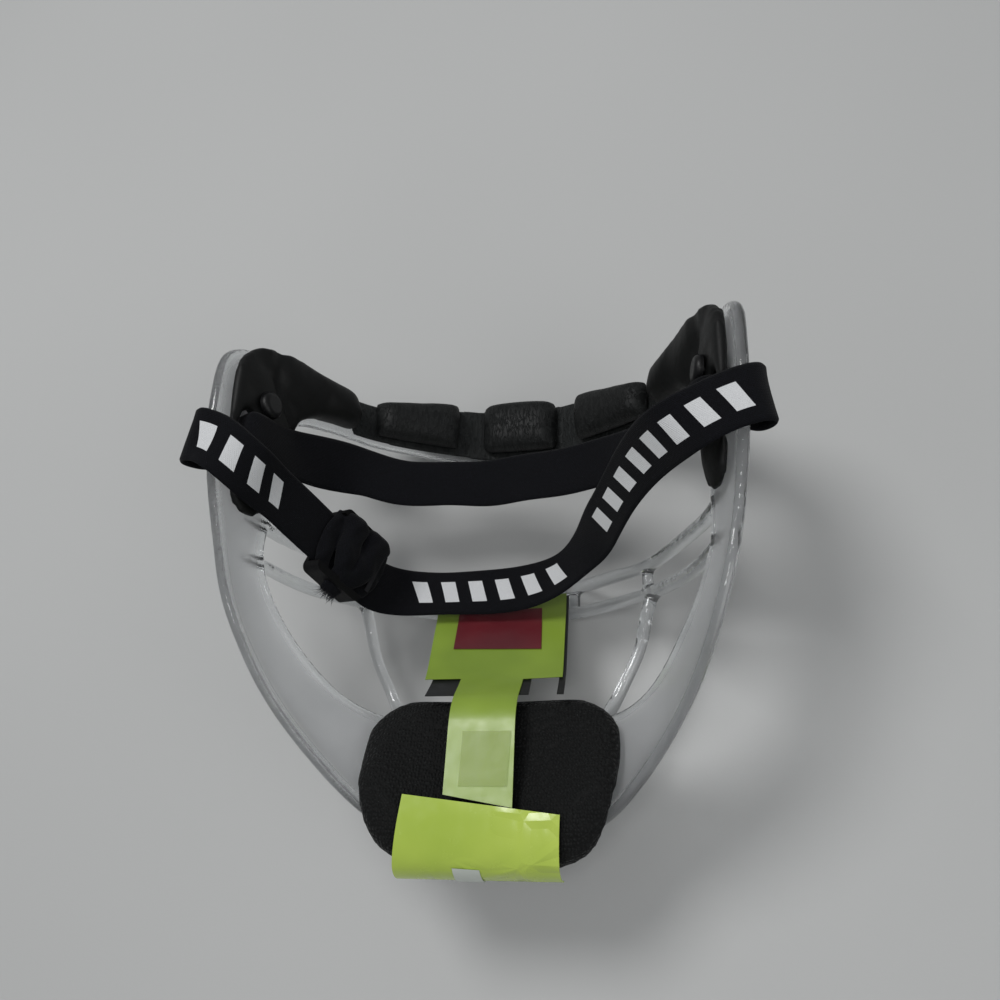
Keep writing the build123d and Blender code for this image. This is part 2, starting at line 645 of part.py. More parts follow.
def sheet(label, side_shares, outline_shares, low, thickness):
    """Write a thin sheet of the card: a band along its side view, cut to its outline from above."""
    points = [Vector(y * guard_height, card_rest + z * guard_depth) for y, z in side_shares]
    with BuildPart() as piece:
        with BuildSketch(Plane.YZ):
            with BuildLine():
                edges = band_edges(points, low, low + thickness)
                Spline(*edges[0])
                Line(edges[0][-1], edges[1][-1])
                Spline(*edges[1][::-1])
                Line(edges[1][0], edges[0][0])
            make_face()
        extrude(amount=guard_width / 2, both=True)
        with BuildSketch(Plane.XY):
            with BuildLine():
                corners = [(x * guard_width / 2, y * guard_height) for x, y in outline_shares]
                Polyline(*corners, close=True)
            make_face()
        extrude(amount=guard_depth, mode=Mode.INTERSECT)
    save(piece.part, label)


sheet("card_front", card_shares, front_outline_shares, 0, card_thickness)
sheet("card_back", card_shares[:7], back_outline_shares, -sheet_gap - back_thickness, back_thickness)
sheet("card_label", card_shares, label_outline_shares, card_thickness + sheet_gap, label_thickness)
sheet("card_tape", card_shares, tape_outline_shares, card_thickness + sheet_gap, tape_thickness)
sheet("card_wrap", wrap_shares, wrap_outline_shares, 0, card_thickness)
sheet("card_sticker", wrap_shares, sticker_outline_shares, card_thickness + sheet_gap, label_thickness)
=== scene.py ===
import math

import bmesh
import bpy
import numpy as np
from mathutils import Matrix, Vector


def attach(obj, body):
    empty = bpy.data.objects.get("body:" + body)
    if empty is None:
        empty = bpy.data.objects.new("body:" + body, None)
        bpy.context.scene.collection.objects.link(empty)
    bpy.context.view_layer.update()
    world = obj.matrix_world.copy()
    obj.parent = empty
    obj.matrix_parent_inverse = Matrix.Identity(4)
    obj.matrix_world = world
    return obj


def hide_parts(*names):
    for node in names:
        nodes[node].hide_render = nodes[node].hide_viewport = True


# A softball face guard, lying face down with its retail card on. Lengths are in metres.
# x runs to the photo's right, y towards the brow and z to the wearer.
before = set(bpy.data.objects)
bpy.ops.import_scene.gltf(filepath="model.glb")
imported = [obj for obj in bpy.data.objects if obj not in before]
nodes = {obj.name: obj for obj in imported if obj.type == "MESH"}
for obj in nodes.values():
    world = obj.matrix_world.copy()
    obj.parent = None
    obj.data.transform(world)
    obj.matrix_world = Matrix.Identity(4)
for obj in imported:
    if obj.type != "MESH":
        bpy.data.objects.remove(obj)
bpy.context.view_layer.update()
scene = bpy.context.scene
rng = np.random.default_rng(7)

# Driving sizes. Apart from the strap's thickness they are the same as in the part's source.
guard_width = 0.198
guard_height = 0.200
guard_depth = 0.112
centre_shift = 0.0071       # from the nose bars to the middle of the box round the guard
opening_wall = 0.0032       # shell at the edge round the face opening
rim_wall = 0.0046           # shell at the rear rim
least_bow = 0.0003          # outward bow of the shell at the brow
chin_bow = 0.0030
seat_gap = 0.0003
pad_seat = 0.0019           # from the shell to the brow pad's skin
wing_rise = 0.0148          # wings at their inner end, over the skin's lower face
strap_width = 0.022
strap_thickness = 0.0015
slider_place = 0.0185       # from the lower end of the strap's straight stretch to the slider

# Mesh sizes
shell_voxel = 0.0008
skin_voxel = 0.0008         # the skin that joins the forehead blocks
pad_voxel = 0.0022
chin_voxel = 0.0018
tail_voxel = 0.00035
webbing_step = 0.0012       # between the rows of the webbing's mesh
webbing_columns = 26

# Depths of the surfaces' relief
grain_depth = 0.00003
fibre_depth = 0.00001       # card
floor_depth = 0.00002
ripple_depth = 0.00004      # clear plastic
dent_depth = 0.0004         # forehead blocks
wing_dent_depth = 0.0006
wrinkle_depth = 0.0003
faint_wrinkle_depth = 0.00007
stitch_depth = 0.0005       # knit of the chin pad
yarn_depth = 0.00006
weave_depth = 0.00014
sink_depth = 0.00008        # small mouldings
hook_depth = 0.0004
streak_depth = 0.00008      # tape
wrinkle_wander = 0.0035     # how far the wrinkles stray sideways


# Nodes and materials

class Tree:
    """Short calls for building a material's nodes."""

    def __init__(self, name):
        self.material = bpy.data.materials.new(name)
        self.material.use_nodes = True
        self.tree = self.material.node_tree
        self.shader = next(n for n in self.tree.nodes if n.type == "BSDF_PRINCIPLED")

    def set(self, **values):
        for name, value in values.items():
            self.plug(value, self.shader.inputs[name.replace("_", " ")])
        return self

    def plug(self, value, socket):
        if isinstance(value, bpy.types.NodeSocket):
            self.tree.links.new(value, socket)
        else:
            socket.default_value = value

    def add(self, kind, inputs=(), out=0, **settings):
        node = self.tree.nodes.new("ShaderNode" + kind)
        for name, value in settings.items():
            setattr(node, name, value)
        for key, value in dict(inputs).items():
            self.plug(value, node.inputs[key])
        return node.outputs[out]

    def math(self, operation, a, b=0.0, c=0.0):
        return self.add("Math", {0: a, 1: b, 2: c}, operation=operation)

    def coords(self, scale=(1, 1, 1), source="Object"):
        where = self.add("TexCoord", out=source)
        return self.add("Mapping", {"Vector": where, "Scale": scale})

    def noise(self, scale, detail=3.0, vector=None, roughness=0.5):
        vector = vector or self.coords()
        values = {"Vector": vector, "Scale": scale, "Detail": detail, "Roughness": roughness}
        return self.add("TexNoise", values, out="Fac")

    def ramp(self, fac, *stops):
        node = self.tree.nodes.new("ShaderNodeValToRGB")
        self.plug(fac, node.inputs[0])
        items = node.color_ramp.elements
        while len(items) < len(stops):
            items.new(0.5)
        for item, (position, colour) in zip(items, stops):
            item.position = position
            item.color = (*colour, 1) if isinstance(colour, tuple) else (colour, colour, colour, 1)
        return node.outputs[0]

    def mix(self, fac, a, b):
        node = self.tree.nodes.new("ShaderNodeMix")
        node.data_type = "RGBA"
        for key, value in ((0, fac), (6, a), (7, b)):
            value = (*value, 1) if isinstance(value, tuple) and len(value) == 3 else value
            self.plug(value, node.inputs[key])
        return node.outputs[2]

    def bump(self, *layers):
        """Bump layers as (height, distance in metres), one over another."""
        normal = None
        for height, distance in layers:
            inputs = {"Height": height, "Distance": distance, "Strength": 1.0}
            if normal:
                inputs["Normal"] = normal
            normal = self.add("Bump", inputs)
        self.plug(normal, self.shader.inputs["Normal"])
        return self


def clear_plastic():
    """Clear plastic: glossy bars and rims, and walls with a frosted face where frost is 1."""
    t = Tree("clear_plastic")
    frost = t.add("Attribute", out="Fac", attribute_name="frost")
    grain = t.noise(1400, 3)
    cloud = t.noise(32, 3)
    glossy = t.ramp(cloud, (0.2, 0.05), (0.8, 0.12))
    matt = t.ramp(cloud, (0.2, 0.34), (0.8, 0.48))
    clear = t.ramp(cloud, (0.3, (0.86, 0.88, 0.89)), (0.7, (0.94, 0.95, 0.96)))
    milky = t.ramp(cloud, (0.3, (0.74, 0.75, 0.76)), (0.7, (0.84, 0.85, 0.86)))
    t.set(
        Base_Color=t.mix(frost, clear, milky),
        Roughness=t.mix(frost, glossy, matt),
        Transmission_Weight=t.math("SUBTRACT", 0.95, t.math("MULTIPLY", frost, 0.20)),
        IOR=1.52,
        Coat_Weight=0.35,
        Coat_Roughness=0.05,
    )
    return t.bump((t.math("MULTIPLY", grain, frost), grain_depth), (t.noise(120, 2), ripple_depth)).material


def pad_vinyl(name, wrinkled, shade):
    """Dull foam skin of a shade. The forehead blocks are wrinkled from one long edge to the other, and the
    wrinkles' raised sides carry painted highlights.
    """
    t = Tree(name)
    flow = t.coords((1, 0.30, 1), "UV")
    wander = t.noise(260, 3, t.coords((1, 1, 1), "UV"), 0.6)
    stray = t.add("CombineXYZ", {0: t.math("MULTIPLY", wander, wrinkle_wander)})
    bent = t.add("VectorMath", {0: flow, 1: stray})
    wrinkle = t.noise(620, 4, bent, 0.55)
    lines = t.ramp(wrinkle, (0.44, 0.0), (0.50, 1.0), (0.56, 0.55))
    skin = t.noise(2600, 2)
    broad = t.noise(55, 3)
    grey = np.array([1, 1.13, 1.13]) * shade
    deep, low, high = [tuple(grey * level) for level in (0.6, 1.0, 1.7)]
    # Painted highlights: the wrinkles' raised sides go from the dark base towards a lighter grey that broad
    # noise varies.
    wrinkle_highlight = t.ramp(broad, (0.35, low), (0.75, high))
    t.set(
        Base_Color=t.mix(t.math("MULTIPLY", lines, 0.8 if wrinkled else 0.12), deep, wrinkle_highlight),
        Roughness=t.ramp(skin, (0.3, 0.46), (0.7, 0.60)),
        Specular_IOR_Level=0.26,
    )
    if wrinkled:
        return t.bump((broad, dent_depth), (lines, wrinkle_depth), (skin, grain_depth)).material
    return t.bump((broad, wing_dent_depth), (wrinkle, faint_wrinkle_depth), (skin, grain_depth)).material


def knit_mesh():
    """Coarse black knit: rounded stitches about a millimetre across, with the holes between them painted
    darker as shade.
    """
    t = Tree("knit_mesh")
    where = t.coords((1, 0.82, 1))
    stitch = t.add("TexVoronoi", {"Vector": where, "Scale": 820.0, "Randomness": 0.55}, out="Distance")
    hump = t.ramp(stitch, (0.05, 1.0), (0.62, 0.0))
    yarn = t.noise(3200, 3)
    speck = t.ramp(t.noise(1500, 2), (0.58, 0.0), (0.70, 1.0))
    # Painted shade: darker from the stitches' tops down into the holes between them.
    colour = t.mix(hump, (0.0010, 0.0011, 0.0011), (0.0052, 0.0060, 0.0060))
    t.set(
        Base_Color=t.mix(t.math("MULTIPLY", speck, 0.6), colour, (0.014, 0.016, 0.016)),
        Roughness=0.72,
        Sheen_Weight=0.06,
        Sheen_Roughness=0.4,
        Specular_IOR_Level=0.22,
    )
    return t.bump((hump, stitch_depth), (yarn, yarn_depth)).material


bar_pitch = 0.0118          # between the slanted bars along the strap
bar_fill = 0.52             # share of the pitch that a bar fills
bar_slant = 0.34
bar_reach = 0.0052          # half the height of the row of bars
pick_length = 0.00085       # between the webbing's threads, along it and across it
wale_length = 0.00125


def webbing(name="webbing", bars=()):
    """Woven elastic. bars are the first and last bar of each generic row of slanted bars."""
    t = Tree(name)
    uv = t.add("TexCoord", out="UV")
    u = t.add("SeparateXYZ", {0: uv}, out=0)
    v = t.add("SeparateXYZ", {0: uv}, out=1)
    pick = t.math("SINE", t.math("MULTIPLY", u, 2 * math.pi / pick_length))
    wale = t.math("SINE", t.math("MULTIPLY", v, 2 * math.pi / wale_length))
    weave = t.math("MULTIPLY", t.math("MULTIPLY", pick, wale), 0.35)
    rows = t.math("ADD", weave, t.math("MULTIPLY", t.math("ABSOLUTE", wale), 0.6))
    fuzz = t.noise(1800, 4)
    colour = t.mix(t.ramp(fuzz, (0.35, 0.0), (0.75, 1.0)), (0.0012, 0.0013, 0.0022), (0.0045, 0.0050, 0.0075))
    slant = t.math("ADD", u, t.math("MULTIPLY", v, bar_slant))
    phase = t.math("FRACT", t.math("DIVIDE", slant, bar_pitch))
    row = t.math("LESS_THAN", t.math("ABSOLUTE", v), bar_reach)
    bar = t.math("MULTIPLY", t.math("LESS_THAN", phase, bar_fill), row)
    pale = t.mix(t.math("MULTIPLY", fuzz, 0.5), (0.70, 0.71, 0.72), (0.46, 0.47, 0.49))
    for first, last in bars:
        start = t.math("GREATER_THAN", slant, first * bar_pitch)
        end = t.math("LESS_THAN", slant, (last + bar_fill) * bar_pitch)
        colour = t.mix(t.math("MULTIPLY", bar, t.math("MULTIPLY", start, end)), colour, pale)
    t.set(Base_Color=colour, Roughness=0.85, Sheen_Weight=0.04, Sheen_Roughness=0.5, Specular_IOR_Level=0.12)
    return t.bump((rows, weave_depth), (fuzz, yarn_depth)).material


def moulded(name, colour, rough=0.38, shine=0.4):
    """Small black mouldings and threads, with a fine grain."""
    t = Tree(name)
    fine = t.noise(1500, 3)
    broad = t.noise(130, 3)
    lighter = tuple(c * 1.6 + 0.0004 for c in colour)
    t.set(
        Base_Color=t.mix(broad, colour, lighter),
        Roughness=t.ramp(fine, (0.3, rough - 0.05), (0.7, rough + 0.08)),
        Specular_IOR_Level=shine,
    )
    return t.bump((fine, grain_depth), (broad, sink_depth)).material


def hook_tape():
    """Dense short hooks."""
    t = Tree("hook_tape")
    dots = t.add("TexVoronoi", {"Vector": t.coords(), "Scale": 1100.0}, out="Distance")
    t.set(Base_Color=t.mix(dots, (0.02, 0.02, 0.02), (0.006, 0.006, 0.006)), Roughness=0.6)
    return t.bump((dots, hook_depth)).material


def printed_card(name, colour, deep, rough=0.30, crinkle=0.0005, creases=0.0, coat=0.12):
    """Glossy printed card with soft dents, and sharp creases up to creases high."""
    t = Tree(name)
    broad = t.noise(28, 2)
    dents = t.noise(75, 2, t.coords((1, 0.5, 1)))
    fibre = t.noise(1400, 2)
    cells = {"Vector": t.coords(), "Scale": 62.0}
    fold = t.add("TexVoronoi", cells, out="Distance", feature="DISTANCE_TO_EDGE")
    where = t.ramp(t.noise(30, 1), (0.48, 0.0), (0.60, 1.0))
    ridge = t.math("MULTIPLY", t.ramp(fold, (0.0, 1.0), (0.16, 0.0)), where)
    t.set(
        Base_Color=t.mix(t.ramp(broad, (0.35, 0.0), (0.65, 1.0)), deep, colour),
        Roughness=t.ramp(t.noise(200, 3), (0.3, rough), (0.7, rough + 0.14)),
        Coat_Weight=coat,
        Coat_Roughness=0.12,
    )
    layers = [(dents, crinkle), (fibre, fibre_depth)]
    if creases:
        layers.append((ridge, creases))
    return t.bump(*layers).material


def clear_tape():
    """Clear tape that takes up the green of the card under it."""
    t = Tree("clear_tape")
    streak = t.noise(300, 3, t.coords((1, 0.2, 1)))
    t.set(
        Base_Color=t.ramp(streak, (0.3, (0.36, 0.48, 0.10)), (0.7, (0.44, 0.56, 0.14))),
        Roughness=t.ramp(streak, (0.3, 0.18), (0.7, 0.36)),
        Alpha=0.24,
        Specular_IOR_Level=0.25,
    )
    return t.bump((streak, streak_depth)).material


def floor_sheet():
    """Plain pale floor."""
    t = Tree("floor_sheet")
    soft = t.noise(2.2, 2)
    t.set(Base_Color=t.mix(soft, (0.47, 0.475, 0.47), (0.56, 0.565, 0.56)), Roughness=0.85)
    return t.bump((t.noise(900, 2), floor_depth)).material


# Meshes

def lay_uvs(mesh, uvs):
    """Lays a place in the texture, one for each vertex."""
    loops = np.zeros(len(mesh.loops), int)
    mesh.loops.foreach_get("vertex_index", loops)
    mesh.uv_layers.new(name="UVMap").data.foreach_set("uv", uvs[loops].ravel())


def new_object(name, vertices, faces, uvs=None):
    mesh = bpy.data.meshes.new(name)
    mesh.from_pydata([tuple(v) for v in vertices], [], faces)
    if uvs is not None:
        lay_uvs(mesh, uvs)
    mesh.polygons.foreach_set("use_smooth", [True] * len(mesh.polygons))
    mesh.update()
    obj = bpy.data.objects.new(name, mesh)
    scene.collection.objects.link(obj)
    return obj


def copy_of(name, *sources):
    """New object with the joined meshes of CAD nodes."""
    joined = bmesh.new()
    for source in sources:
        joined.from_mesh(nodes[source].data)
    mesh = bpy.data.meshes.new(name)
    joined.to_mesh(mesh)
    joined.free()
    obj = bpy.data.objects.new(name, mesh)
    scene.collection.objects.link(obj)
    return obj


def apply(obj):
    """Applies obj's modifiers."""
    graph = bpy.context.evaluated_depsgraph_get()
    graph.update()
    mesh = bpy.data.meshes.new_from_object(obj.evaluated_get(graph))
    obj.modifiers.clear()
    obj.data = mesh
    return obj


def remesh(obj, voxel, smooth=0, factor=0.5):
    modifier = obj.modifiers.new("remesh", "REMESH")
    modifier.mode = "VOXEL"
    modifier.voxel_size = voxel
    modifier.use_smooth_shade = True
    if smooth:
        modifier = obj.modifiers.new("smooth", "SMOOTH")
        modifier.factor = factor
        modifier.iterations = smooth
    return apply(obj)


def points_of(obj):
    points = np.zeros(len(obj.data.vertices) * 3)
    obj.data.vertices.foreach_get("co", points)
    return points.reshape(-1, 3)


def set_points(obj, points):
    obj.data.vertices.foreach_set("co", np.asarray(points, float).ravel())
    obj.data.update()


def spline(points, count):
    """Smooth curve through points, and how far along each of its points lies."""
    points = np.asarray(points, float)
    knots = np.concatenate([[0], np.cumsum(np.linalg.norm(np.diff(points[:, :3], axis=0), axis=1))])
    step = np.diff(knots)
    size = len(points)
    system = np.eye(size)
    right = np.zeros_like(points)
    for i in range(1, size - 1):
        system[i, i - 1:i + 2] = step[i - 1], 2 * (step[i - 1] + step[i]), step[i]
        right[i] = 6 * ((points[i + 1] - points[i]) / step[i] - (points[i] - points[i - 1]) / step[i - 1])
    second = np.linalg.solve(system, right)
    along = np.linspace(0, knots[-1], count)
    i = np.clip(np.searchsorted(knots, along, "right") - 1, 0, size - 2)
    h = step[i][:, None]
    a = ((knots[i + 1] - along) / step[i])[:, None]
    b = 1 - a
    curve = a * points[i] + b * points[i + 1]
    curve += ((a ** 3 - a) * second[i] + (b ** 3 - b) * second[i + 1]) * h * h / 6
    return curve, along


selvedge_share = 0.10       # of half the webbing's width, over which an edge is rounded
end_share = 0.06            # of its thickness, that is left at the very edge
ripple_length = 0.009
wander_length = 0.023


def ribbon(name, stops, width, thickness, ripple):
    """Webbing along stops of (point, way across), with rounded selvedges. UVs are in metres."""
    columns = webbing_columns
    table = np.array([(*p, *w) for p, w in stops])
    rows = int(np.sum(np.linalg.norm(np.diff(table[:, :3], axis=0), axis=1)) / webbing_step)
    curve, along = spline(table, rows)
    centre = curve[:, :3]
    run = np.gradient(centre, axis=0)
    run /= np.linalg.norm(run, axis=1)[:, None]
    across = curve[:, 3:] - run * np.sum(curve[:, 3:] * run, axis=1)[:, None]
    across /= np.linalg.norm(across, axis=1)[:, None]
    up = np.cross(run, across)
    share = np.linspace(-1, 1, columns)
    edge = np.clip((1 - np.abs(share)) / selvedge_share, 0, 1)
    half = thickness / 2 * np.sqrt(1 - (1 - edge) ** 2)
    half[0] = half[-1] = thickness * end_share
    wave = ripple * np.sin(along / ripple_length + 1.3 * np.sin(along / wander_length))
    sideways = across[:, None] * (share * width / 2)[None, :, None]
    grid = np.stack(np.meshgrid(along, share * width / 2, indexing="ij"), -1).reshape(-1, 2)
    vertices, uvs = [], []
    for side in (1, -1):
        lift = side * half[None, :] + wave[:, None] * (share ** 3)[None, :]
        block = centre[:, None] + sideways + up[:, None] * lift[:, :, None]
        vertices.append(block.reshape(-1, 3))
        uvs.append(grid)
    faces = []
    back = rows * columns
    for i in range(rows - 1):
        for j in range(columns - 1):
            k = i * columns + j
            faces.append((k, k + 1, k + columns + 1, k + columns))
            faces.append((back + k, back + k + columns, back + k + columns + 1, back + k + 1))
        for j, flip in ((0, True), (columns - 1, False)):
            k = i * columns + j
            quad = (k, k + columns, back + k + columns, back + k)
            faces.append(quad[::-1] if not flip else quad)
    for i in (0, rows - 1):
        for j in range(columns - 1):
            k = i * columns + j
            quad = (k, back + k, back + k + 1, k + 1)
            faces.append(quad if i == 0 else quad[::-1])
    obj = new_object(name, np.concatenate(vertices), faces, np.concatenate(uvs))
    bm = bmesh.new()
    bm.from_mesh(obj.data)
    bmesh.ops.recalc_face_normals(bm, faces=bm.faces)
    bm.to_mesh(obj.data)
    bm.free()
    return obj


def give(obj, material):
    obj.data.materials.clear()
    obj.data.materials.append(material)


def repaint(name, material):
    """A CAD node's better material."""
    for slot in nodes[name].material_slots:
        slot.material = material


# The shell's opening edge and rear edge, station by station from the middle of the brow round the
# temple to the chin, as shares of half the width, the height and the depth, from the nose bars.
shell_shares = [
    ((0.000, 0.353, 0.016), (0.000, 0.478, 0.016)),
    ((0.172, 0.353, 0.029), (0.172, 0.475, 0.029)),
    ((0.333, 0.355, 0.094), (0.333, 0.468, 0.094)),
    ((0.505, 0.358, 0.179), (0.505, 0.455, 0.183)),
    ((0.646, 0.360, 0.272), (0.657, 0.443, 0.290)),
    ((0.758, 0.363, 0.384), (0.788, 0.439, 0.450)),
    ((0.828, 0.355, 0.491), (0.889, 0.439, 0.631)),
    ((0.869, 0.338, 0.580), (0.949, 0.436, 0.822)),
    ((0.882, 0.305, 0.621), (0.985, 0.396, 0.952)),
    ((0.879, 0.250, 0.652), (0.991, 0.318, 0.988)),
    ((0.872, 0.180, 0.688), (0.988, 0.223, 0.989)),
    ((0.865, 0.100, 0.723), (0.973, 0.120, 0.960)),
    ((0.859, 0.010, 0.750), (0.942, 0.010, 0.918)),
    ((0.813, -0.070, 0.719), (0.889, -0.100, 0.888)),
    ((0.722, -0.155, 0.634), (0.783, -0.235, 0.777)),
    ((0.601, -0.228, 0.491), (0.631, -0.350, 0.638)),
    ((0.444, -0.263, 0.366), (0.444, -0.445, 0.509)),
    ((0.222, -0.268, 0.317), (0.222, -0.495, 0.433)),
    ((0.000, -0.270, 0.308), (0.000, -0.513, 0.402)),
]
brow_rows = 13              # stations of the shell that carry the brow pad
line_points = 260           # points of the smooth line that other points are measured from


def place(share):
    """Points of the guard from their shares of half the width, the height and the depth."""
    return np.array(share) * [guard_width / 2, guard_height, guard_depth] + [0, centre_shift, 0]


def unit(vector):
    return np.asarray(vector) / np.linalg.norm(vector)


shell_line = np.round(place(shell_shares), 4)       # to a tenth of a millimetre


def nearest_on_shell(points, rows):
    """For each point: how far along the shell's line, how far across, the shell's width and the gap."""
    fine, along = spline(shell_line[:rows].reshape(rows, 6), line_points)
    mirrored = points.copy()
    mirrored[:, 0] = np.abs(mirrored[:, 0])
    start, way = fine[:, :3], fine[:, 3:] - fine[:, :3]
    width = np.linalg.norm(way, axis=1)
    way = way / width[:, None]
    found = np.zeros((len(points), 4))
    batch = 4000
    for first in range(0, len(points), batch):
        part = mirrored[first:first + batch]
        offset = part[:, None] - start[None]
        across = np.clip(np.sum(offset * way[None], axis=2), 0, width[None])
        gap = np.linalg.norm(offset - across[:, :, None] * way[None], axis=2)
        best = gap.argmin(axis=1)
        row = np.arange(len(part))
        measures = [along[best], across[row, best], width[best], gap[row, best]]
        found[first:first + batch] = np.stack(measures, 1)
    return found


def lay_grain(obj):
    """UVs in metres: u runs round the brow and down the temple, v from the opening to the rear edge."""
    points = points_of(obj)
    found = nearest_on_shell(points, brow_rows)
    side = np.where(points[:, 0] < 0, -1, 1)
    lay_uvs(obj.data, np.stack([found[:, 0] * side, found[:, 1]], 1))


def crease(obj, middle, slant, depth, width):
    """Presses a slanted crease across a pad, middle metres along the shell's line."""
    points = points_of(obj)
    normals = np.zeros(len(points) * 3)
    obj.data.vertex_normals.foreach_get("vector", normals)
    along, across, wide, _ = nearest_on_shell(points, brow_rows).T
    off = along - middle + (across / wide - 0.5) * slant
    set_points(obj, points - normals.reshape(-1, 3) * (depth * np.exp(-(off / width) ** 2))[:, None])


frost_margin = 0.0015       # clear strip along each edge of the wall
frost_fade = 0.003          # over which the frost comes in beside it
wall_reach = 0.0060         # points further than this from the wall's middle are bars
wall_fade = 0.002
frost_start = 0.10          # along the shell's line, where the frost begins
start_fade = 0.03


def lay_frost(obj):
    """Marks the wall's faces as frosted, and leaves the rims and the bars clear."""
    along, across, width, gap = nearest_on_shell(points_of(obj), len(shell_line)).T
    inside = np.minimum(across, width - across)
    frost = np.clip((inside - frost_margin) / frost_fade, 0, 1)
    frost *= np.clip((wall_reach - gap) / wall_fade, 0, 1)
    frost *= np.clip((along - frost_start) / start_fade, 0, 1)
    layer = obj.data.attributes.new("frost", "FLOAT", "POINT")
    layer.data.foreach_set("value", frost)


cloth_stiffness = 25
cloth_bending = 0.3
cloth_frames = 20


def swell(obj, voxel, pressure, cap, extra=0.0):
    """Cloth simulation of a padded form: remesh, press outwards, cap the movement, subdivide once."""
    remesh(obj, voxel, 2)
    rest = points_of(obj)
    cloth = obj.modifiers.new("cloth", "CLOTH")
    settings = cloth.settings
    settings.use_pressure = True
    settings.uniform_pressure_force = pressure
    settings.effector_weights.gravity = 0
    settings.tension_stiffness = settings.compression_stiffness = cloth_stiffness
    settings.bending_stiffness = cloth_bending
    settings.shrink_min = -extra
    cloth.point_cache.frame_end = cloth_frames
    for number in range(1, cloth_frames + 1):
        scene.frame_set(number)
    graph = bpy.context.evaluated_depsgraph_get()
    moved = bpy.data.meshes.new_from_object(obj.evaluated_get(graph))
    now = np.zeros(len(moved.vertices) * 3)
    moved.vertices.foreach_get("co", now)
    shift = now.reshape(-1, 3) - rest
    far = np.linalg.norm(shift, axis=1)[:, None]
    obj.modifiers.clear()
    set_points(obj, rest + shift * np.minimum(1, cap / np.maximum(far, 1e-9)))
    scene.frame_set(1)
    obj.modifiers.new("subdivision", "SUBSURF").levels = 1
    return apply(obj)


# Clear moulding
plastic = clear_plastic()
shell = copy_of("clear_shell", "face_frame")
remesh(shell, shell_voxel, smooth=8, factor=0.6)
lay_frost(shell)
give(shell, plastic)
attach(shell, "guard")
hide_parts("face_frame")

# Brow pad
pad_swell = 0.0009          # most that the cloth may move a cushion's surface
wing_crease_place = 0.120   # along the shell's line from the middle of the brow
wing_crease_slant = 0.016
wing_crease_depth = 0.0013
wing_crease_width = 0.0016
# The wings take a darker copy of the blocks' vinyl as painted shade, and the skin between the blocks a
# lighter copy as painted light.
wing_vinyl_painted_shade = pad_vinyl("wing_vinyl_painted_shade", False, 0.0036)
block_vinyl = pad_vinyl("block_vinyl", True, 0.0075)
web_vinyl_painted_light = pad_vinyl("web_vinyl_painted_light", True, 0.0150)
for label in ("brow_pad_centre", "brow_pad_inner_left", "brow_pad_inner_right", "brow_pad_wing_left",
              "brow_pad_wing_right", "brow_pad_web"):
    pad = copy_of(label.replace("brow_pad", "brow_cushion"), label)
    if label == "brow_pad_web":
        remesh(pad, skin_voxel, smooth=3)
    else:
        swell(pad, pad_voxel, pressure=3.0, cap=pad_swell, extra=0.02)
    lay_grain(pad)
    if "wing" in label:
        crease(pad, wing_crease_place, wing_crease_slant, wing_crease_depth, wing_crease_width)
        give(pad, wing_vinyl_painted_shade)
    else:
        give(pad, web_vinyl_painted_light if "web" in label else block_vinyl)
    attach(pad, "guard")
    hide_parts(label)

# Chin pad
chin_swell = 0.0008
chin = copy_of("chin_cushion", "chin_pad_cover", "chin_pad_foam", "chin_pad_backing")
remesh(chin, chin_voxel, smooth=3)
swell(chin, chin_voxel, pressure=2.0, cap=chin_swell)
lay_uvs(chin.data, points_of(chin)[:, :2])
give(chin, knit_mesh())
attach(chin, "guard")
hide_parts("chin_pad_cover", "chin_pad_foam", "chin_pad_backing")

# Straps: stations of the middle line as shares like the shell's, each with the way its width points.
# The plain run lies inside, from slot to slot. The printed run leaves the slots outside, folds over
# the rims and crosses lower down, through the slider.
strap_ripple = 0.0003
slot_station = 9.9          # of the shell's stations
slot_share = 0.74           # of the shell's width there
bow_station = 8             # from here the bow grows to the chin's, over as many stations
lobe_share = 0.38           # height of the wing at the slot
plain_shares = [
    ((-0.815, 0.227, 0.820), (-0.06, 0.95, -0.32)),
    ((-0.790, 0.240, 0.680), (0.03, 0.97, -0.26)),
    ((-0.720, 0.250, 0.560), (0.17, 0.98, 0.00)),
    ((-0.596, 0.255, 0.429), (0.10, 0.98, -0.15)),
    ((-0.465, 0.240, 0.384), (0.00, 0.98, -0.15)),
    ((-0.253, 0.240, 0.339), (-0.08, 0.99, -0.14)),
    ((-0.081, 0.235, 0.339), (-0.13, 0.97, -0.15)),
    ((0.091, 0.230, 0.393), (-0.18, 0.97, -0.15)),
    ((0.270, 0.224, 0.450), (-0.25, 0.95, -0.20)),
    ((0.412, 0.224, 0.505), (-0.20, 0.95, -0.22)),
    ((0.537, 0.220, 0.582), (-0.16, 0.95, -0.24)),
    ((0.668, 0.218, 0.690), (-0.14, 0.95, -0.22)),
    ((0.780, 0.217, 0.830), (-0.14, 0.96, -0.18)),
]
left_fold_shares = [
    ((-1.040, 0.218, 0.920), (0.02, 0.99, 0.00)),
    ((-1.066, 0.215, 0.965), (0.12, 0.99, 0.00)),
    ((-1.062, 0.212, 1.005), (0.20, 0.98, 0.00)),
    ((-1.030, 0.208, 1.034), (0.24, 0.97, 0.00)),
    ((-0.975, 0.200, 1.036), (0.30, 0.92, -0.10)),
    ((-0.907, 0.180, 1.032), (0.38, 0.90, -0.20)),
    ((-0.821, 0.145, 0.970), (0.42, 0.87, -0.28)),
]
straight_shares = [(-0.778, 0.126, 0.840), (-0.540, 0.012, 0.404)]
straight_across = (0.23, 0.937, -0.262)
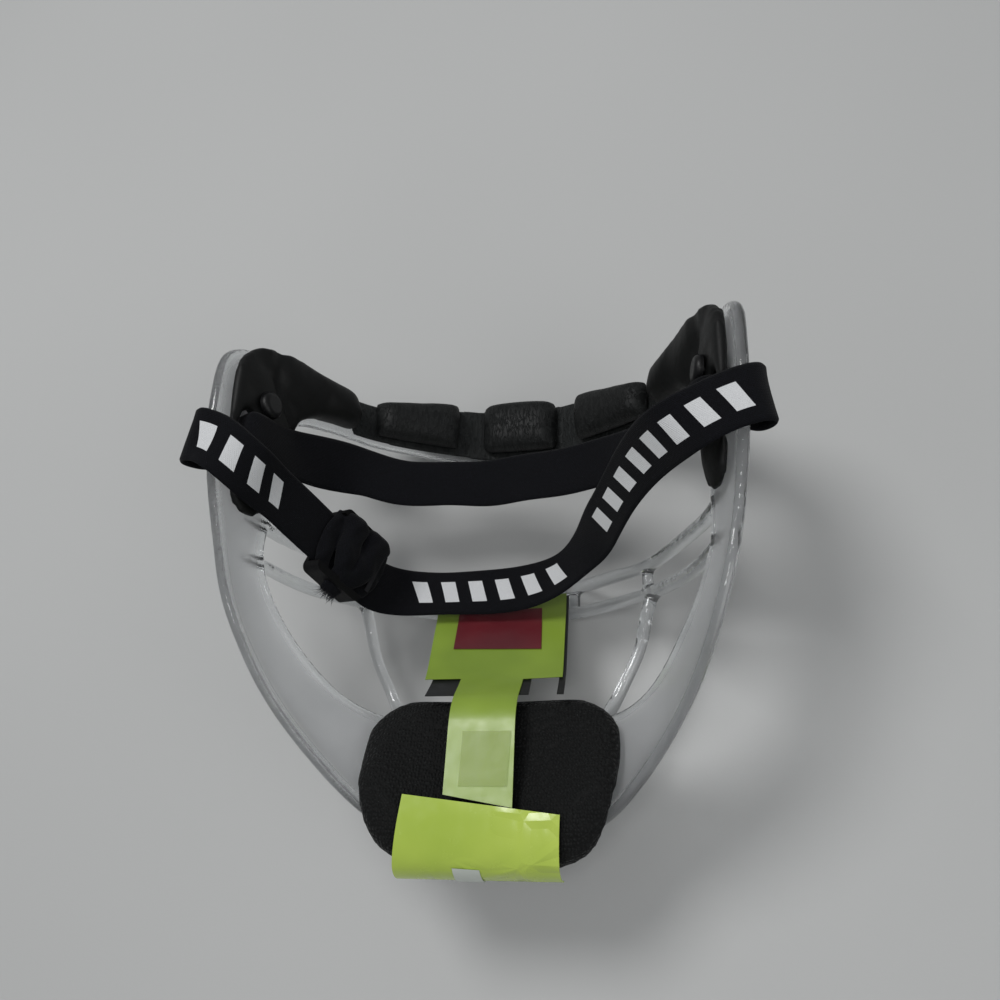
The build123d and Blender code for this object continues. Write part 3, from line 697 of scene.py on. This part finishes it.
cross_shares = [
    ((-0.486, 0.008, 0.335), (0.05, 0.96, -0.28)),
    ((-0.425, 0.008, 0.292), (-0.05, 0.96, -0.28)),
    ((-0.330, 0.008, 0.270), (-0.08, 0.95, -0.32)),
    ((-0.177, 0.007, 0.270), (-0.12, 0.93, -0.35)),
    ((0.080, 0.011, 0.290), (-0.26, 0.90, -0.34)),
    ((0.245, 0.033, 0.336), (-0.32, 0.82, -0.47)),
    ((0.362, 0.072, 0.415), (-0.61, 0.58, -0.55)),
    ((0.442, 0.100, 0.530), (-0.62, 0.53, -0.58)),
    ((0.535, 0.136, 0.678), (-0.64, 0.44, -0.63)),
    ((0.652, 0.161, 0.848), (-0.64, 0.72, -0.17)),
    ((0.758, 0.167, 0.968), (-0.54, 0.84, 0.00)),
    ((0.860, 0.181, 1.018), (-0.37, 0.93, 0.00)),
    ((0.960, 0.196, 1.036), (-0.26, 0.96, 0.00)),
    ((1.030, 0.204, 1.034), (-0.22, 0.97, 0.00)),
    ((1.062, 0.210, 1.005), (-0.18, 0.98, 0.00)),
    ((1.066, 0.214, 0.965), (-0.12, 0.99, 0.00)),
    ((1.040, 0.218, 0.920), (-0.02, 0.99, 0.00)),
]


def curve_at(points, f):
    """Point and run of the smooth curve through four points, at f between the middle two."""
    a, b, c, d = points
    first = (c - a) / 2
    second = (2 * a - 5 * b + 4 * c - d) / 2
    third = (3 * b - a - 3 * c + d) / 2
    point = b + first * f + second * f ** 2 + third * f ** 3
    return point, first + 2 * second * f + 3 * third * f ** 2


def slot_stop(side, inward):
    """Station of the strap where it passes a temple slot, so far inward from the shell's middle."""
    whole = int(slot_station)
    (near, far), runs = curve_at(shell_line[whole - 1:whole + 3], slot_station - whole)
    across = unit(far - near)
    run = runs[0] + runs[1]
    run = unit(run - across * run.dot(across))
    bow = least_bow + (chin_bow - least_bow) * (slot_station - bow_station) / bow_station
    inward = inward - 4 * bow * slot_share * (1 - slot_share)
    point = near + (far - near) * slot_share + np.cross(run, across) * inward
    return point * [side, 1, 1], -run * [side, 1, 1]


def stops_from(shares):
    """Stations of the webbing in real sizes."""
    return [(place(share), unit(across)) for share, across in shares]


slot_wall = (opening_wall + (rim_wall - opening_wall) * slot_share) / 2
lobe_face = slot_wall + pad_seat + wing_rise * lobe_share
plain_stops = [slot_stop(-1, -slot_wall / 2), slot_stop(-1, slot_wall), slot_stop(-1, lobe_face)]
plain_stops += stops_from(plain_shares)
plain_stops += [slot_stop(1, lobe_face), slot_stop(1, slot_wall), slot_stop(1, -slot_wall / 2)]
straight_start, straight_end = place(straight_shares)
printed_stops = [slot_stop(-1, -slot_wall - seat_gap), *stops_from(left_fold_shares)]
for quarter in range(5):
    point = straight_start + (straight_end - straight_start) * quarter / 4
    printed_stops.append((point, unit(straight_across)))
printed_stops += [*stops_from(cross_shares), slot_stop(1, -slot_wall - seat_gap)]
plain_webbing = webbing()
barred_webbing = webbing("webbing_barred", [(2, 5), (12, 17), (20, 27)])
for label, stops, material in (
    ("strap_plain", plain_stops, plain_webbing),
    ("strap_printed", printed_stops, barred_webbing),
):
    strap = ribbon(label.replace("strap", "web_strap"), stops, strap_width, strap_thickness, strap_ripple)
    give(strap, material)
    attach(strap, "guard")
    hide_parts(label)

# Slider: its bunched tail of webbing and the frayed fibres, in the slider's axes
strap_run = unit(straight_end - straight_start)
strap_over = unit(np.cross(strap_run, straight_across))
slider_axes = [tuple(axis) for axis in (strap_run, np.cross(strap_over, strap_run), strap_over)]
slider_spot = Vector(straight_end - strap_run * slider_place)
slide = Matrix.Translation(slider_spot) @ Matrix(slider_axes).transposed().to_4x4()
# The bunched tail: rolls of webbing over the slider's middle bar, in the slider's own axes.
# Each station is (across, along, over, half its width, half its thickness).
tail_rolls = (
    [(0.0158, -0.0040, 0.0030, 0.0022, 0.0016), (0.0146, -0.0042, 0.0036, 0.0046, 0.0034),
     (0.0090, -0.0040, 0.0048, 0.0056, 0.0042), (0.0000, -0.0026, 0.0052, 0.0052, 0.0038),
     (-0.0080, -0.0004, 0.0046, 0.0042, 0.0030), (-0.0130, 0.0014, 0.0036, 0.0026, 0.0018)],
    [(0.0164, 0.0078, 0.0026, 0.0026, 0.0018), (0.0150, 0.0080, 0.0034, 0.0056, 0.0038),
     (0.0092, 0.0080, 0.0050, 0.0068, 0.0045), (0.0005, 0.0072, 0.0052, 0.0064, 0.0042),
     (-0.0075, 0.0054, 0.0046, 0.0052, 0.0034), (-0.0130, 0.0034, 0.0036, 0.0030, 0.0020)],
    [(-0.0070, 0.0020, 0.0038, 0.0060, 0.0024), (-0.0115, 0.0014, 0.0032, 0.0056, 0.0022),
     (-0.0150, 0.0006, 0.0024, 0.0046, 0.0020), (-0.0180, 0.0002, 0.0014, 0.0042, 0.0014)],
    [(0.0135, -0.0102, 0.0022, 0.0030, 0.0014), (0.0030, -0.0112, 0.0024, 0.0040, 0.0015),
     (-0.0110, -0.0090, 0.0022, 0.0036, 0.0015)],
    [(0.0125, 0.0150, 0.0020, 0.0028, 0.0014), (0.0000, 0.0156, 0.0022, 0.0034, 0.0015),
     (-0.0100, 0.0126, 0.0022, 0.0030, 0.0014)],
)
roll_sides = 28
roll_rows = 44
tail_dents = (0.00022, 0.0011, 0.0031)      # depth, length along and length across of the larger dents
tail_dimples = (0.00016, 0.0017, 0.0009)    # and of the smaller ones
fibre_count = 90
fibre_width = 0.00016
fibre_steps = 4
fibre_corners = (0.0, 2.1, 4.2)     # angles of its three edges
fibre_places = (-0.0036, 0.0040)    # along the tail's end
fibre_root = -0.0172                # where they leave it, in the slider's own axes
fibre_heights = (0.0006, 0.0024)
fibre_lengths = (0.0012, 0.0036)


def roll(stations):
    """Closed roll of webbing through stations, as vertices and faces in the slider's axes."""
    curve, _ = spline(stations, roll_rows)
    turn = np.linspace(0, 2 * math.pi, roll_sides, endpoint=False)
    vertices = []
    for across, run, over, wide, thick in curve:
        for angle in turn:
            vertices.append((run + wide * math.cos(angle), across, over + thick * math.sin(angle)))
    faces = []
    rows = len(curve)
    for i in range(rows - 1):
        for j in range(roll_sides):
            k, n = i * roll_sides, (j + 1) % roll_sides
            faces.append((k + j, k + n, k + roll_sides + n, k + roll_sides + j))
    faces.append(tuple(range(roll_sides))[::-1])
    faces.append(tuple((rows - 1) * roll_sides + j for j in range(roll_sides)))
    return vertices, faces


def bunched_tail():
    """The rolls joined into one body, with a soft uneven surface and UVs in metres."""
    vertices, faces = [], []
    for stations in tail_rolls:
        more, sides = roll(stations)
        faces += [tuple(k + len(vertices) for k in face) for face in sides]
        vertices += more
    obj = new_object("web_tail", vertices, faces)
    remesh(obj, tail_voxel, smooth=5)
    points = points_of(obj)
    depth, along, across = tail_dents
    dent = depth * np.sin(points[:, 0] / along + 2 * np.sin(points[:, 1] / across))
    depth, across, over = tail_dimples
    dent += depth * np.sin(points[:, 1] / across + points[:, 2] / over)
    points[:, 2] += dent
    set_points(obj, points)
    lay_uvs(obj.data, points[:, :2])
    obj.data.transform(slide)
    return obj


def frayed_fibres():
    """Loose fibres at the tail's cut end, each thin and bent, with three sides and closed ends."""
    vertices, faces = [], []
    for _ in range(fibre_count):
        root = np.array([rng.uniform(*fibre_places), fibre_root, rng.uniform(*fibre_heights)])
        way = np.array([rng.normal(0, 0.35), -1.0, rng.normal(0.15, 0.35)])
        bend = np.array([rng.normal(0, 0.5), 0.0, rng.normal(-0.2, 0.4)])
        length = rng.uniform(*fibre_lengths)
        first = len(vertices)
        for step in range(fibre_steps + 1):
            f = step / fibre_steps
            centre = root + way * length * f + bend * length * f * f
            radius = fibre_width * (1 - 0.7 * f)
            for angle in fibre_corners:
                vertices.append(centre + [radius * math.cos(angle), 0, radius * math.sin(angle)])
        for step in range(fibre_steps):
            for j in range(3):
                a, b = first + step * 3 + j, first + step * 3 + (j + 1) % 3
                faces.append((a, b, b + 3, a + 3))
        last = first + fibre_steps * 3
        faces.append((first + 2, first + 1, first))
        faces.append((last, last + 1, last + 2))
    obj = new_object("web_tail_fibres", vertices, faces)
    obj.data.transform(slide)
    return obj


tail = bunched_tail()
give(tail, plain_webbing)
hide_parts("strap_tail")
fibres = frayed_fibres()
give(fibres, moulded("fibre", (0.006, 0.006, 0.009), 0.8))
for piece in (tail, fibres):
    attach(piece, "slider")

# CAD pieces that keep their own mesh and get a finer material
slider_plastic = moulded("slider_plastic", (0.0010, 0.0010, 0.0013), 0.62, 0.18)
stud_plastic = moulded("stud_plastic", (0.0016, 0.0016, 0.0020), 0.42, 0.30)
thread = moulded("thread", (0.006, 0.006, 0.008), 0.75)
panel_green = printed_card("card_green", (0.27, 0.39, 0.045), (0.20, 0.30, 0.034))
# The wrap takes a lighter copy of the card's green, as painted light.
wrap_green_painted_light = printed_card(
    "card_wrap_green", (0.50, 0.64, 0.10), (0.38, 0.52, 0.065),
    rough=0.16, crinkle=0.0009, creases=0.0006, coat=0.35,
)
back_black = printed_card("card_black", (0.012, 0.013, 0.014), (0.006, 0.006, 0.006), 0.3)
label_maroon = printed_card("card_maroon", (0.15, 0.015, 0.022), (0.10, 0.010, 0.016))
sticker_paper = printed_card("card_sticker_paper", (0.62, 0.66, 0.60), (0.50, 0.54, 0.50), 0.4)
for label, material in (
    ("slider", slider_plastic), ("strap_stitch", thread),
    ("temple_stud_left", stud_plastic), ("temple_stud_right", stud_plastic),
    ("stud_cap_left", stud_plastic), ("stud_cap_right", stud_plastic),
    ("brow_hooks", hook_tape()), ("chin_hooks", hook_tape()),
    ("card_front", panel_green), ("card_wrap", wrap_green_painted_light), ("card_back", back_black),
    ("card_label", label_maroon), ("card_tape", clear_tape()), ("card_sticker", sticker_paper),
):
    repaint(label, material)

# Floor, light and camera
floor_reach = 2.0
lamp_aim = (0, 0, 0.05)
lamps = (                   # name, place, width across and watts
    ("key", (-0.35, 0.45, 1.10), 0.45, 6),
    ("fill", (0.80, -0.55, 0.90), 0.9, 2.5),
    ("front", (0.10, -0.20, 1.30), 0.30, 2),
)
sky_colour = (0.86, 0.88, 0.90, 1)
sky_strength = 0.30
camera_place = (0.0873, -0.1061, 0.4194)
camera_turns = (("Z", 3.38), ("Y", -12.32), ("X", -21.74))     # in degrees
camera_lens = 36
camera_sensor = 36
near_clip = 0.01

corners = [(x * floor_reach, y * floor_reach, 0) for x, y in ((-1, -1), (1, -1), (1, 1), (-1, 1))]
floor = new_object("floor_plane", corners, [(0, 1, 2, 3)])
give(floor, floor_sheet())


def lamp(name, spot, size, watts):
    data = bpy.data.lights.new(name, "AREA")
    data.shape = "DISK"
    data.size = size
    data.energy = watts
    obj = bpy.data.objects.new(name, data)
    scene.collection.objects.link(obj)
    obj.location = spot
    obj.rotation_euler = (Vector(lamp_aim) - Vector(spot)).to_track_quat("-Z", "Y").to_euler()


for settings in lamps:
    lamp(*settings)
world = bpy.data.worlds.new("studio")
world.use_nodes = True
world.node_tree.nodes["Background"].inputs[0].default_value = sky_colour
world.node_tree.nodes["Background"].inputs[1].default_value = sky_strength
scene.world = world

camera = bpy.data.objects.new("camera", bpy.data.cameras.new("camera"))
scene.collection.objects.link(camera)
camera.data.sensor_width = camera_sensor
camera.data.lens = camera_lens
camera.data.clip_start = near_clip
turn = Matrix.Identity(3)
for axis, degrees in camera_turns:
    turn = turn @ Matrix.Rotation(math.radians(degrees), 3, axis)
camera.matrix_world = Matrix.Translation(camera_place) @ turn.transposed().to_4x4()
scene.camera = camera
scene.view_settings.view_transform = "Standard"
